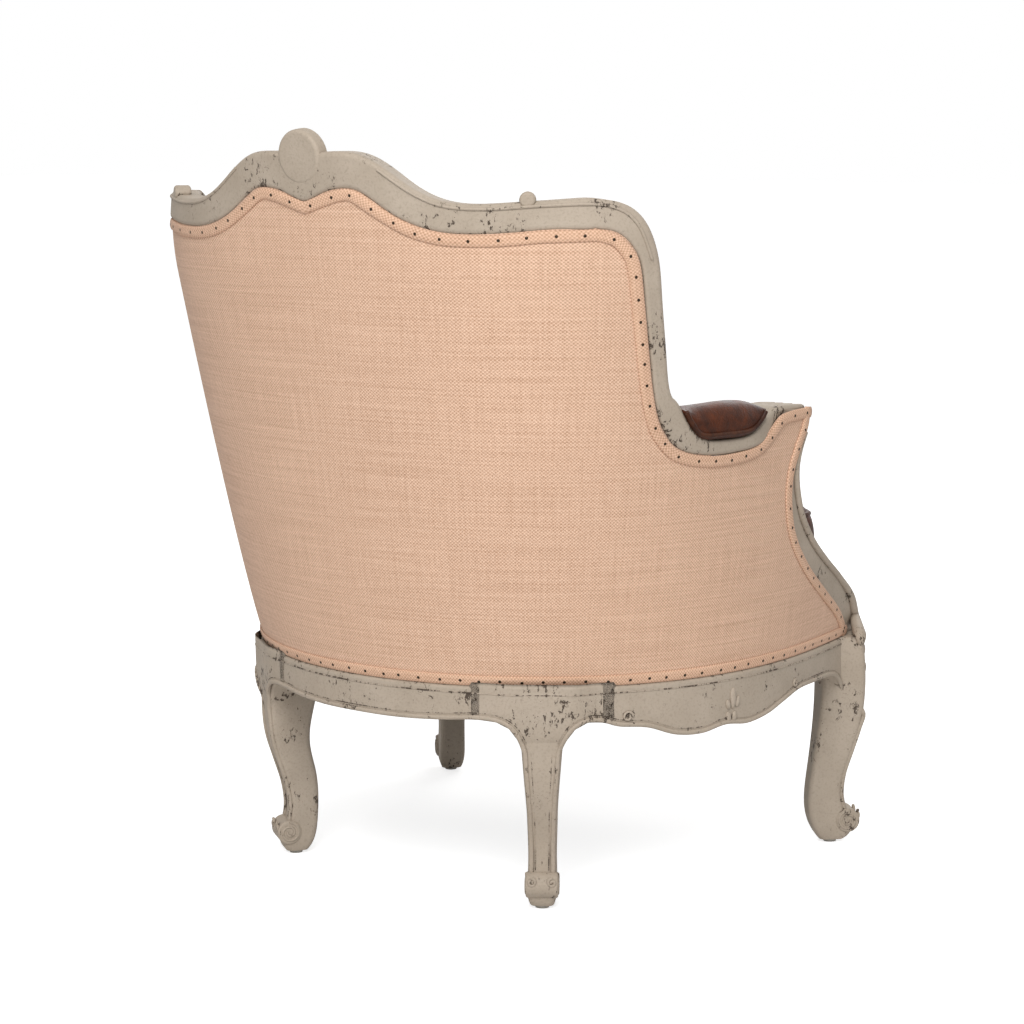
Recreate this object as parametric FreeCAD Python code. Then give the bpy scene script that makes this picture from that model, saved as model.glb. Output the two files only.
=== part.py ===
import FreeCAD, Part
import math
import os

from FreeCAD import Matrix, Vector

# Tub-backed bergere armchair: carved painted show-wood frame, a hessian outside back,
# leather inside back, inside arms, arm pads and loose seat cushion.
# Millimetres, +Z up, the sitter faces -Y, floor at Z = 0.
# A place on the outside of the back is a pair (s, z): s is the distance round the seat
# plan from the centre of the back towards the sitter's left (+X), z is the height.

# Overall sizes
crest_height = 1000.0
seat_rail_top = 298.0

# Seat plan, a rounded barrel drawn by radius against angle from the rear
barrel_radius = 446.0
barrel_stretch = 68.0
barrel_corner = -15.0
barrel_centre_y = -134.0
plan_end_angle = 126.0
plan_step_angle = 6.0

# How far the wall leans out at crest height, at the rear, at the corners and at the sides
lean_rear = 110.0
lean_corner = 145.0
lean_side = 52.0
lean_power = 0.87
corner_turn_in_height = 805.0
corner_turn_in = 0.000024

# Timber
crest_depth = 36.0
stile_depth = 38.0
wood_proud = 3.0
edge_radius = 7.0
cartouche_radius = 34.0
cartouche_centre = 966.0
cartouche_depth = 20.0
knob_radius = 10.0
knob_station = 238.0
knob_centre = 914.0
arm_depth = 46.0
hand_depth = 56.0
support_depth = 40.0
rail_depth = 34.0
rail_proud = 5.0
front_rail_y = -300.0
front_rail_bow = 26.0
front_rail_depth = 36.0
rear_leg_station = 245.0
front_leg_station = 885.0
leg_ankle_width = 37.0
post_width = 34.0
post_depth = 24.0
post_station = 205.0
block_length = 34.0
block_width = 118.0
block_bottom = 262.0
block_top = 294.0
screw_radius = 2.5
screw_head_radius = 5.0
screw_length = 48.0
dowel_radius = 4.0
dowel_length = 36.0

# Feet
glide_height = 5.0
glide_radius = 9.0
scroll_radius = 17.0

# Upholstery
hessian_thickness = 2.5
tape_width = 12.0
tape_inset = 3.0
cover_gap = 2.5
tape_thickness = 1.8
back_pad_depth = 40.5
back_pad_thickness = 50.0
arm_lining_thickness = 22.0
upholstery_bottom = 303.0
deck_top = 370.0
deck_rear_inset = 93.0
deck_side_inset = 66.0
deck_front_y = -297.0
deck_corner_x = 288.0
cushion_bottom = 370.4
cushion_edge_height = 102.0
cushion_crown = 18.0
cushion_rear_inset = 104.0
cushion_side_inset = 68.0
cushion_front_y = -312.0
cushion_front_bow = 14.0
cushion_corner_x = 294.0
cushion_side_end = 815.0
leather_thickness = 2.5
piping_radius = 4.0
arm_pad_top = 663.0
strap_width = 50.0
strap_thickness = 2.0
strap_pitch = 70.0
cross_strap_pitch = 110.0
back_strap_pitch = 80.0
dust_cover_thickness = 1.2
fit_gap = 0.4

# Shape of the frame, as (s, z) pairs down the sitter's left half
crest_upper = [(0, 966), (22, 969), (45, 971), (64, 969), (96, 952), (128, 927), (160, 912), (200, 909),
               (225, 911), (250, 913), (275, 915), (300, 916)]
crest_lower = [(0, 908), (22, 917), (45, 924), (64, 923), (96, 901), (128, 882), (160, 873), (200, 872),
               (225, 874), (250, 877), (275, 878), (300, 879)]
stile_outer = [(300, 916), (321, 912), (339, 902), (353, 882), (364, 847), (371, 796), (378, 744), (385, 694),
               (393, 669)]
stile_inner = [(300, 879), (311, 877), (324, 871), (335, 858), (344, 838), (351, 790), (358, 738), (366, 684),
               (375, 645)]
arm_upper = [(393, 669), (408, 650), (430, 622), (460, 611), (500, 611), (535, 622), (562, 639), (600, 642),
             (640, 640)]
arm_lower = [(375, 645), (386, 622), (408, 601), (450, 591), (500, 591), (540, 596), (570, 602), (605, 606),
             (640, 606)]
support_front = [(642, 606), (632, 584), (630, 556), (637, 524), (656, 488), (692, 451), (742, 418),
                 (803, 387), (858, 353), (891, 314), (905, 270)]
support_rear = [(598, 606), (588, 582), (586, 552), (593, 512), (614, 466), (652, 423), (702, 385),
                (752, 354), (794, 322), (820, 286), (834, 250)]
rear_rail_lower = [(0, 250), (60, 250), (120, 252), (170, 255), (196, 253), (212, 245), (222, 231),
                   (229, 212)]
side_rail_lower = [(276, 212), (284, 231), (294, 245), (310, 253), (332, 251), (352, 245), (390, 241),
                   (430, 228), (470, 225), (510, 231), (550, 227), (590, 232), (630, 243), (670, 252),
                   (720, 253), (765, 252),
                   (790, 247), (806, 237), (818, 222), (828, 208)]
front_rail_lower = [(0, 228), (60, 236), (120, 250), (180, 242), (230, 244), (280, 254), (330, 261),
                    (365, 262)]

# Legs by height: how far the outer and inner faces stand from the foot centre, and the width
front_leg_profile = [(5, 14, -20, 30), (25, 24, -32, 38), (50, 14, -38, 38), (85, 10, -37, 38),
                     (125, 21, -32, 40), (170, 34, -27, 46), (215, 39, -24, 54),
                     (255, 38, -24, 60), (298, 32, -24, 62)]
rear_leg_profile = [(5, 22, -8, 30), (25, 27, -18, 38), (50, 20, -22, 37), (85, 19, -23, 37),
                    (125, 30, -18, 39), (170, 43, -11, 45), (215, 47, -18, 52),
                    (255, 51, -22, 58), (298, 52, -24, 60)]
front_foot = (347.0, -250.0)
front_leg_turn = 135.0
front_scroll_reach = 18.0
rear_foot = (211.0, 251.0)
rear_leg_turn = 35.0
rear_scroll_reach = 20.0
scroll_height = 33.0

os.makedirs("parts", exist_ok=True)


def plan_point(angle_degrees):
    angle = math.radians(angle_degrees)
    radius = barrel_radius + barrel_stretch * math.cos(2 * angle) + barrel_corner * math.cos(3 * angle)
    return Vector(radius * math.sin(angle), barrel_centre_y + radius * math.cos(angle), 0)


plan_count = int(round(2 * plan_end_angle / plan_step_angle))
seat_curve = Part.BSplineCurve()
seat_curve.interpolate([plan_point(-plan_end_angle + plan_step_angle * i) for i in range(plan_count + 1)])
rear_parameter = seat_curve.parameter(plan_point(0))


def plan_at(s):
    u = seat_curve.parameterAtDistance(s, rear_parameter) if s else rear_parameter
    tangent = seat_curve.tangent(u)[0]
    return seat_curve.value(u), Vector(-tangent.y, tangent.x, 0).normalize()


def lean_at(outward, z):
    # the corners bulge further than the rear and the sides, and draw in again towards the crest
    turn = min(abs(math.atan2(outward.x, outward.y)), math.pi / 2)
    middle = (lean_rear + lean_side) / 2
    swing = (lean_rear - lean_side) / 2
    bulge = (lean_corner - middle) / 2 * (1 - math.cos(4 * turn))
    drawn_in = 1 - corner_turn_in * max(z - corner_turn_in_height, 0)**2
    return middle + swing * math.cos(2 * turn) + bulge * drawn_in


def wall(s, z, depth=0.0):
    point, outward = plan_at(s)
    rise = max(z - seat_rail_top, 0) / (crest_height - seat_rail_top)
    return point + outward * (lean_at(outward, z) * rise**lean_power - depth) + Vector(0, 0, z)


def frame_matrix(origin, across, out):
    along = across.cross(out)
    return Matrix(
        across.x, out.x, along.x, origin.x,
        across.y, out.y, along.y, origin.y,
        across.z, out.z, along.z, origin.z,
        0, 0, 0, 1,
    )


def rounded_outline(width, height, radius):
    r = min(radius, 0.45 * width, 0.45 * height)
    k = r * (1 - math.sqrt(0.5))
    corners = [(0, 0, 1, 1), (width, 0, -1, 1), (width, -height, -1, -1), (0, -height, 1, -1)]
    edges = []
    points = []
    for x, y, sx, sy in corners:
        first = Vector(x, y - sy * r, 0)
        middle = Vector(x + sx * k, y - sy * k, 0)
        last = Vector(x + sx * r, y, 0)
        if sx * sy < 0:
            first, last = last, first
        points.append((first, middle, last))
    for i, (first, middle, last) in enumerate(points):
        edges.append(Part.Arc(first, middle, last).toShape())
        edges.append(Part.makeLine(last, points[(i + 1) % 4][0]))
    return Part.Wire(edges)


def placed_outline(origin, across, out, width, height, radius):
    return rounded_outline(width, height, radius).transformGeometry(frame_matrix(origin, across, out))


def ribbon_section(upper, lower, face, back, radius):
    a = wall(*upper, face)
    b = wall(*lower, face)
    outward = plan_at((upper[0] + lower[0]) / 2)[1]
    across = b - a
    width = across.Length
    across.normalize()
    return placed_outline(a, across, outward, width, back - face, radius)


def ribbon(uppers, lowers, faces, backs, radius=edge_radius):
    count = len(uppers)
    faces = faces if isinstance(faces, list) else [faces] * count
    backs = backs if isinstance(backs, list) else [backs] * count
    rows = zip(uppers, lowers, faces, backs)
    return Part.makeLoft([ribbon_section(u, l, f, b, radius) for u, l, f, b in rows], True, False)


def both_ways(points):
    return [(-s, z) for s, z in reversed(points[1:])] + list(points)


def mirrored(shape):
    return shape.mirror(Vector(0, 0, 0), Vector(1, 0, 0))


def largest(shape):
    return max(shape.Solids, key=lambda solid: solid.Volume)


def value_at(rows, x):
    rows = sorted(rows)
    if x <= rows[0][0]:
        return rows[0][1]
    for (x0, y0), (x1, y1) in zip(rows, rows[1:]):
        if x <= x1:
            return y0 + (y1 - y0) * (x - x0) / (x1 - x0)
    return rows[-1][1]


def spline(points):
    curve = Part.BSplineCurve()
    curve.interpolate(points)
    return curve.toShape()


def slab_outline(s_from, s_to, z, near, far, count=17):
    # closed outline at one height: the wall curve at two depths, joined at the ends
    stations = [s_from + (s_to - s_from) * i / (count - 1) for i in range(count)]
    outer = [wall(s, z, near(s) if callable(near) else near) for s in stations]
    inner = [wall(s, z, far(s) if callable(far) else far) for s in stations]
    inner.reverse()
    return Part.Wire([spline(outer), Part.makeLine(outer[-1], inner[0]), spline(inner),
                      Part.makeLine(inner[-1], outer[0])])


def half_width(y):
    low, high = 15.0, plan_end_angle
    for _ in range(40):
        middle = (low + high) / 2
        if plan_point(middle).y > y:
            low = middle
        else:
            high = middle
    return plan_point(low).x


def rod(start, direction, radius, length):
    return Part.makeCylinder(radius, length, start, direction)


def turned(degrees):
    angle = math.radians(degrees)
    return Vector(math.sin(angle), math.cos(angle), 0)


def make_crest_rail():
    rail = ribbon(both_ways(crest_upper), both_ways(crest_lower), -wood_proud, crest_depth)
    upright = wall(0, cartouche_centre) - wall(0, cartouche_centre - 50)
    square_out = Vector(0, upright.z, -upright.y).normalize()
    shield_start = wall(0, cartouche_centre, cartouche_depth - wood_proud)
    shield = rod(shield_start, square_out, cartouche_radius, cartouche_depth + 0.6)
    shield = shield.makeFillet(5, shield.Edges)
    rail = rail.fuse(shield)
    for side in (-1, 1):
        outward = plan_at(side * knob_station)[1]
        knob = rod(wall(side * knob_station, knob_centre, 18), outward, knob_radius, 18 + wood_proud + 1)
        rail = rail.fuse(knob.makeFillet(4, knob.Edges))
    return rail


def make_stile():
    return ribbon(stile_outer, stile_inner, -wood_proud, stile_depth)


def make_arm():
    under_cover = hessian_thickness + 0.5
    faces = [-wood_proud] * 6 + [hessian_thickness, under_cover, under_cover]
    backs = [stile_depth, 40, 43, arm_depth, arm_depth, 48, 54, hand_depth, hand_depth]
    return ribbon(arm_upper, arm_lower, faces, backs)


def make_support():
    post = ribbon(support_front, support_rear, hessian_thickness + 0.5, support_depth)
    below = Part.makeBox(400, 400, 200, Vector(200, -500, seat_rail_top - 200))
    return largest(post.cut(below))


def make_seat_rail(lower):
    upper = [(s, seat_rail_top) for s, z in lower]
    return ribbon(upper, lower, -rail_proud, rail_depth - rail_proud, 5)


def front_y(x):
    return front_rail_y - front_rail_bow * math.cos(math.pi * x / 640)


def make_front_rail():
    sections = []
    for x, z in both_ways(front_rail_lower):
        slope = front_rail_bow * math.pi / 640 * math.sin(math.pi * x / 640)
        out = Vector(slope, -1, 0).normalize()
        origin = Vector(x, front_y(x), seat_rail_top)
        sections.append(placed_outline(origin, Vector(0, 0, -1), out, seat_rail_top - z, front_rail_depth, 5))
    return Part.makeLoft(sections, True, False)


def make_leg(foot, turn, profile, reach):
    out = turned(turn)
    side = Vector(out.y, -out.x, 0)
    base = Vector(foot[0], foot[1], 0)
    sections = []
    for z, outer, inner, width in profile:
        origin = base + out * outer - side * (width / 2) + Vector(0, 0, z)
        sections.append(placed_outline(origin, side, out, width, outer - inner, 8))
    leg = Part.makeLoft(sections, True, False)
    roll_width = leg_ankle_width + 5
    roll_start = base + out * reach - side * (roll_width / 2) + Vector(0, 0, scroll_height)
    roll = rod(roll_start, side, scroll_radius, roll_width)
    leg = leg.fuse(roll.makeFillet(3, roll.Edges))
    return leg


def make_rear_post():
    levels = [seat_rail_top, 440, 590, 740, 886]
    left_edge = [(post_station - post_width / 2, z) for z in levels]
    right_edge = [(post_station + post_width / 2, z) for z in levels]
    return ribbon(left_edge, right_edge, hessian_thickness + 1.5, hessian_thickness + 1.5 + post_depth, 3)


def make_corner_block(foot, turn, inner, reach, neighbours):
    out = turned(turn)
    side = Vector(out.y, -out.x, 0)
    corner = Vector(foot[0], foot[1], block_bottom) + out * (inner - block_length) - side * (block_width / 2)
    block = Part.makeBox(block_width, reach - inner + block_length, block_top - block_bottom)
    block = block.transformGeometry(frame_matrix(corner, side, out))
    return largest(block.cut(neighbours))


def make_screw(start, direction):
    head = Part.makeCone(screw_head_radius, screw_radius, 4, start, direction)
    return head.fuse(rod(start, direction, screw_radius, screw_length))


def block_screws(foot, turn, inner):
    out = turned(turn)
    side = Vector(out.y, -out.x, 0)
    middle = Vector(foot[0], foot[1], (block_bottom + block_top) / 2)
    start = middle + out * (inner - block_length)
    return [make_screw(start + side * offset, out) for offset in (-16, 16)]


def rail_dowels(joint, direction):
    levels = (seat_rail_top - 12, seat_rail_top - 28)
    starts = [Vector(joint.x, joint.y, z) - direction * (dowel_length / 2) for z in levels]
    return [rod(start, direction, dowel_radius, dowel_length) for start in starts]


def cover_strip(s, top):
    # a thin upright strip of the outside cover, from the seat rail to its top edge
    heights = [seat_rail_top + (top - seat_rail_top) * i / 12 for i in range(13)]
    outer = [wall(s, z) for z in heights]
    inner = [wall(s, z, hessian_thickness) for z in reversed(heights)]
    return Part.Wire([spline(outer), Part.makeLine(outer[-1], inner[0]), spline(inner),
                      Part.makeLine(inner[-1], outer[0])])


def make_back_cover():
    edge = beside(both_ways(crest_lower + stile_inner[1:] + arm_lower[1:4]), cover_gap)
    seam = arm_lower[3][0]
    stations = [s for s, z in edge if abs(s) < seam - 2] + [-seam, -430, 430, seam]
    strips = [cover_strip(s, value_at(edge, s)) for s in sorted(stations)]
    return Part.makeLoft(strips, True, True)


def make_arm_cover():
    front = [(z, s - 9) for s, z in support_front if z > seat_rail_top]
    top = arm_lower[4][1] - cover_gap
    levels = [seat_rail_top + (top - seat_rail_top) * i / 14 for i in range(15)]
    sections = [slab_outline(arm_lower[3][0], value_at(front, z), z, 0, hessian_thickness) for z in levels]
    return Part.makeLoft(sections, True, True)


def make_arm_lining():
    front = [(z, s - 7) for s, z in support_front]
    levels = [upholstery_bottom, 340, 385, 430, 480, 530, 575, 588]
    sections = []
    for z in levels:
        share = (z - upholstery_bottom) / (588 - upholstery_bottom)
        crown = 1 - 0.5 * abs(2 * share - 1)**4
        rear = 401 - 31 * share
        tip = value_at(front, z)

        def inside(s, rear=rear, tip=tip, crown=crown):
            across = abs(2 * (s - rear) / (tip - rear) - 1)
            return support_depth + fit_gap + arm_lining_thickness * crown * (1 - 0.55 * across**6)

        sections.append(slab_outline(rear, tip, z, support_depth + fit_gap, inside))
    return Part.makeLoft(sections, True, False)


def make_back_pad():
    tops = [(0, 906), (22, 915), (45, 921), (64, 920), (96, 899), (128, 880), (160, 871), (200, 870),
            (250, 874), (300, 874), (325, 864), (338, 846)]
    shares = [(0.0, 0.5), (0.06, 0.74), (0.2, 0.9), (0.45, 1.0), (0.7, 0.92), (0.88, 0.8), (1.0, 0.55)]
    sections = []
    for s, z in both_ways(tops):
        top = wall(s, z, back_pad_depth)
        bottom = wall(s * 1.17, upholstery_bottom, back_pad_depth)
        outward = plan_at(s * 1.08)[1]
        down = bottom - top
        height = down.Length
        down.normalize()
        out = (outward - down * outward.dot(down)).normalize()
        edge_share = 1 - 0.35 * (abs(s) / 338)**8
        front = [top + down * (height * t) - out * (back_pad_thickness * k * edge_share) for t, k in shares]
        corners = [front[-1], bottom, top, front[0]]
        straight = [Part.makeLine(a, b) for a, b in zip(corners, corners[1:])]
        sections.append(Part.Wire([spline(front)] + straight))
    return Part.makeLoft(sections, True, False)


def make_arm_pad():
    uppers = [(414, 656), (426, 661), (444, arm_pad_top), (480, arm_pad_top + 1), (515, arm_pad_top - 2),
              (538, 656), (552, 648)]
    lowers = [(409, 650), (423, 632), (443, 618), (478, 612), (513, 614), (535, 623), (549, 633)]
    faces = [0, -4, -6, -6, -6, -4, 2]
    backs = [36, 44, 48, 49, 49, 48, 42]
    return largest(ribbon(uppers, lowers, faces, backs, 14).cut(arm))


def beside(points, distance):
    # the same path, moved to its right-hand side on the unrolled wall
    moved = []
    for i, (s, z) in enumerate(points):
        s0, z0 = points[max(i - 1, 0)]
        s1, z1 = points[min(i + 1, len(points) - 1)]
        length = math.hypot(s1 - s0, z1 - z0)
        moved.append((s + (z1 - z0) / length * distance, z - (s1 - s0) / length * distance))
    return moved


def with_midpoints(points):
    middles = [((s0 + s1) / 2, (z0 + z1) / 2) for (s0, z0), (s1, z1) in zip(points, points[1:])]
    return sorted(points + middles)


def make_tape():
    back = -2.2 * fit_gap
    face = back - tape_thickness
    crest_edge = both_ways([(s, value_at(crest_lower, s)) for s in range(0, 301, 20)])
    arm_edge = [(386, 621), (400, 606), (424, 595.5), (450, 591), (500, 591), (535, 595), (554, 603),
                (566, 618)]
    hand_edge = [(568, 634), (600, 636), (622, 636)]
    front_edge = [(s - 9, z) for s, z in support_front if 318 < z < 600]
    sill = [(s, seat_rail_top + 1) for s in range(800, -1, -80)]
    halves = [with_midpoints(stile_inner[1:]), arm_edge, hand_edge, front_edge, sill]
    bands = []
    for path in halves + [crest_edge]:
        near = beside(path, tape_inset)
        far = beside(path, tape_inset + tape_width)
        bands.append(ribbon(near, far, face, back, 0.6))
    return bands + [mirrored(band) for band in bands[: len(halves)]]


def seat_outline(z, rear_inset, side_inset, front, corner, bow):
    end = cushion_side_end - (front - cushion_front_y)
    stations = [end * (i / 16 - 1) for i in range(33)]
    points = []
    for s in stations:
        sideways = min(abs(s) / 420.0, 1.0)
        depth = rear_inset + (side_inset - rear_inset) * sideways**2 * (3 - 2 * sideways)
        points.append(wall(s, seat_rail_top, depth) + Vector(0, 0, z - seat_rail_top))
    nose = [Vector(corner - 8, front + 18, z), Vector(corner - 40, front + 2, z), Vector(0, front - bow, z),
            Vector(40 - corner, front + 2, z), Vector(8 - corner, front + 18, z)]
    loop = Part.BSplineCurve()
    loop.interpolate(points + nose, True)
    return Part.Wire(loop.toShape())


def cushion_outline(inset, z):
    return seat_outline(z, cushion_rear_inset + inset, cushion_side_inset + inset, cushion_front_y + inset,
                        cushion_corner_x - inset, cushion_front_bow)


def cushion_body(inset):
    bottom = cushion_bottom + inset
    top = cushion_bottom + cushion_edge_height - inset
    rows = [(bottom, 50), (bottom + 3, 24), (bottom + 13, 6), (bottom + 32, 0)]
    rows += [(top - 32, 0), (top - 13, 6), (top - 3, 24)]
    rows += [(top + cushion_crown * math.sin(math.pi / 2 * i / 7), 24 + 25 * i) for i in range(1, 8)]
    return Part.makeLoft([cushion_outline(inset + draw_in, z) for z, draw_in in rows], True, False)


def make_piping(z):
    path = cushion_outline(4.6 - piping_radius - 2 * fit_gap, z)
    curve = path.Edges[0].Curve
    start = curve.FirstParameter
    circle = Part.makeCircle(piping_radius, curve.value(start), curve.tangent(start)[0])
    ring = Part.Wire(circle)
    return path.makePipeShell([ring], True, False)


def make_deck():
    rows = [(upholstery_bottom - 0.6, 3), (upholstery_bottom + 4, 0), (deck_top - 12, 0), (deck_top - 4, 5),
            (deck_top, 16)]
    sections = []
    for z, d in rows:
        sections.append(seat_outline(z, deck_rear_inset + d, deck_side_inset + d, deck_front_y + d,
                                     deck_corner_x - d, 10))
    return Part.makeLoft(sections, True, False)


def rear_y(x):
    low, high = 0.0, 60.0
    for _ in range(40):
        middle = (low + high) / 2
        if plan_point(middle).x < x:
            low = middle
        else:
            high = middle
    return plan_point(low).y


def make_seat_webbing():
    straps = []
    for i in (-2, -1, 0, 1, 2):
        x = i * strap_pitch
        first = front_y(abs(x) + strap_width / 2) + 8
        last = rear_y(abs(x) + strap_width / 2) - 8
        corner = Vector(x - strap_width / 2, first, seat_rail_top)
        straps.append(Part.makeBox(strap_width, last - first, strap_thickness, corner))
    step = 2 * strap_pitch + strap_width / 2 + 15
    for i in (-1.5, -0.5, 0.5, 1.5):
        y = -30 + i * cross_strap_pitch
        reach = min(half_width(y - strap_width / 2), half_width(y + strap_width / 2)) - 10
        low, high = seat_rail_top, seat_rail_top + strap_thickness
        under = [(-reach, low), (-step - 20, low), (-step, high), (step, high), (step + 20, low),
                 (reach, low)]
        over = [(x, z + strap_thickness) for x, z in reversed(under)]
        corners = [Vector(x, y - strap_width / 2, z) for x, z in under + over]
        straps.append(Part.Face(Part.makePolygon(corners + corners[:1])).extrude(Vector(0, strap_width, 0)))
    return straps


def make_back_webbing():
    straps = []
    for i in (-2, -1, 0, 1, 2):
        s = i * back_strap_pitch
        levels = [seat_rail_top + strap_thickness + 0.5, 360, 480, 620, 760,
                  value_at(crest_lower, abs(s)) + 8]
        faces = [20, 30, 36.4, 36.4, 36.4, 36.4]
        first = [(s - strap_width / 2, z) for z in levels]
        second = [(s + strap_width / 2, z) for z in levels]
        straps.append(ribbon(first, second, faces, [face + strap_thickness for face in faces], 0.6))
    return straps


def make_dust_cover(legs):
    stations = [-848 + 1696 * i / 32 for i in range(33)]
    low = block_bottom - dust_cover_thickness
    points = [wall(s, 0, rail_depth - rail_proud + fit_gap) + Vector(0, 0, low) for s in stations]
    sheet = Part.Face(Part.Wire([spline(points), Part.makeLine(points[-1], points[0])]))
    return largest(sheet.extrude(Vector(0, 0, dust_cover_thickness)).cut(legs))


def make_glide(foot, turn, profile):
    centre = Vector(foot[0], foot[1], 0) + turned(turn) * ((profile[0][1] + profile[0][2]) / 2)
    glide = rod(centre, Vector(0, 0, 1), glide_radius, glide_height)
    return glide


crest_rail = make_crest_rail()
stile = make_stile()
arm = make_arm()
support = largest(make_support().cut(arm))
rear_leg = make_leg(rear_foot, rear_leg_turn, rear_leg_profile, rear_scroll_reach)
front_leg = make_leg(front_foot, front_leg_turn, front_leg_profile, front_scroll_reach)
legs = [rear_leg, mirrored(rear_leg), front_leg, mirrored(front_leg)]
rear_rail = largest(make_seat_rail(both_ways(rear_rail_lower)).cut(legs))
side_rail = largest(make_seat_rail(side_rail_lower).cut(legs))
front_rail = largest(make_front_rail().cut(legs))

# Joints of the seat frame: dowels across each rail end, corner blocks screwed into the legs
rear_out = turned(rear_leg_turn)
rear_side = Vector(rear_out.y, -rear_out.x, 0)
rear_base = Vector(rear_foot[0], rear_foot[1], 0) + rear_out * 33
side_point, side_outward = plan_at(front_leg_station - 60)
side_heading = Vector(side_outward.y, -side_outward.x, 0)
front_out = turned(front_leg_turn)
front_side = Vector(front_out.y, -front_out.x, 0)
front_base = Vector(front_foot[0], front_foot[1], 0)
dowels = rail_dowels(rear_base + rear_side * 30, rear_side)
dowels += rail_dowels(rear_base - rear_side * 30, rear_side)
dowels += rail_dowels(front_base - front_side * 31 - front_out * 14, side_heading)
dowels += rail_dowels(front_base + front_side * 31 + front_out * 12, Vector(1, 0, 0))
rear_block = make_corner_block(rear_foot, rear_leg_turn, -24, 34, [rear_leg, rear_rail, side_rail])
front_block = make_corner_block(front_foot, front_leg_turn, -24, 22, [front_leg, front_rail, side_rail])
screws = block_screws(rear_foot, rear_leg_turn, -24) + block_screws(front_foot, front_leg_turn, -24)
rear_block = largest(rear_block.cut(screws))
front_block = largest(front_block.cut(screws))
rear_leg = largest(rear_leg.cut(dowels + screws))
front_leg = largest(front_leg.cut(dowels + screws))
side_rail = largest(side_rail.cut(dowels + screws))
all_dowels = dowels + [mirrored(dowel) for dowel in dowels]
rear_rail = largest(rear_rail.cut(all_dowels))
front_rail = largest(front_rail.cut(all_dowels))

post = make_rear_post()
crest_rail = largest(crest_rail.cut([post, mirrored(post)]))
cushion_shell = largest(cushion_body(0).cut(cushion_body(leather_thickness)))
glides = [make_glide(rear_foot, rear_leg_turn, rear_leg_profile),
          make_glide(front_foot, front_leg_turn, front_leg_profile)]


def pair(solids):
    return Part.makeCompound(list(solids) + [mirrored(solid) for solid in solids])


shapes = {
    "crest_rail": crest_rail,
    "back_stile_left": stile,
    "arm_left": arm,
    "arm_support_left": support,
    "rear_leg_left": rear_leg,
    "front_leg_left": front_leg,
    "rear_seat_rail": rear_rail,
    "side_seat_rail_left": side_rail,
    "front_seat_rail": front_rail,
    "rear_post_left": post,
    "rear_corner_block_left": rear_block,
    "front_corner_block_left": front_block,
    "corner_block_screws": pair(screws),
    "rail_dowels": pair(dowels),
    "foot_glides": pair(glides),
    "outside_back_cover": make_back_cover(),
    "outside_arm_cover_left": make_arm_cover(),
    "cover_tape": Part.makeCompound(make_tape()),
    "inside_arm_lining_left": make_arm_lining(),
    "inside_back_pad": make_back_pad(),
    "arm_pad_left": make_arm_pad(),
    "seat_webbing": Part.makeCompound(make_seat_webbing()),
    "back_webbing": Part.makeCompound(make_back_webbing()),
    "seat_deck": make_deck(),
    "dust_cover": make_dust_cover(legs),
    "seat_cushion_cover": cushion_shell,
    "seat_cushion_core": cushion_body(leather_thickness + fit_gap),
    "seat_cushion_piping": Part.makeCompound([make_piping(cushion_bottom + 14),
                                              make_piping(cushion_bottom + cushion_edge_height - 14)]),
}
for name, shape in list(shapes.items()):
    if name.endswith("_left"):
        shapes[name.replace("_left", "_right")] = mirrored(shape)

# Centre the whole chair on the origin, front to back
extents = [shape.optimalBoundingBox() for shape in shapes.values()]
middle_y = (min(box.YMin for box in extents) + max(box.YMax for box in extents)) / 2
for name, shape in shapes.items():
    shape.translated(Vector(0, -middle_y, 0)).exportStep(f"parts/{name}.step")
print(len(shapes), "pieces, moved forward by", round(middle_y, 4), "mm")
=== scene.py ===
import math

import bmesh
import bpy
import numpy as np
from mathutils import Matrix, Vector, noise
from mathutils.bvhtree import BVHTree


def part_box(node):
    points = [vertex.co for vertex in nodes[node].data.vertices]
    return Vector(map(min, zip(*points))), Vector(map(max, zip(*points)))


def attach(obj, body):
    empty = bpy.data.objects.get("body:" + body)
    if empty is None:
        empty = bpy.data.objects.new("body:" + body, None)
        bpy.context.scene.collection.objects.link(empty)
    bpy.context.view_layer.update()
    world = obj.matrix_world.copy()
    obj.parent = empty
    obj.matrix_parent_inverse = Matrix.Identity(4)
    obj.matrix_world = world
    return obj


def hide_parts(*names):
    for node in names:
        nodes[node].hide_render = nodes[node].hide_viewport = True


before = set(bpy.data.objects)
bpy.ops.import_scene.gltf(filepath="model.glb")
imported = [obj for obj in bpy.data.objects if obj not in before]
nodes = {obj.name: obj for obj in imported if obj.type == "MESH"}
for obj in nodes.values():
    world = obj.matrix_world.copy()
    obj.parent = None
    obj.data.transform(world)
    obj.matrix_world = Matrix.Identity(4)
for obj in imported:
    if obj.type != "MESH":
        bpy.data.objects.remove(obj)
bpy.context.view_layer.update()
scene = bpy.context.scene
print("stage: frame loaded")

# The tub's wall, as in the solids: s runs round the seat from the middle of the back, z is the height (mm)
tub = {"radius": 446, "stretch": 68, "corner": -15, "centre": -134, "railProud": 5, "sill": 298, "top": 1000,
       "sweep": 126, "spots": 1261}
lean = {"rear": 110, "corner": 145, "side": 52, "power": 0.87, "turnInHeight": 805, "turnIn": 0.000024}
rearmost = tub["centre"] + tub["radius"] + tub["stretch"] + tub["corner"] + tub["railProud"]
shift = rearmost - 1000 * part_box("rear_seat_rail")[1][1]  # how far model.glb has the chair moved forwards
turns = np.radians(np.linspace(-tub["sweep"], tub["sweep"], tub["spots"]))
reach = tub["radius"] + tub["stretch"] * np.cos(2 * turns) + tub["corner"] * np.cos(3 * turns)
planX = reach * np.sin(turns)
planY = tub["centre"] + reach * np.cos(turns) - shift
planS = np.concatenate([[0], np.cumsum(np.hypot(np.diff(planX), np.diff(planY)))])
planS -= planS[len(planS) // 2]
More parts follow.
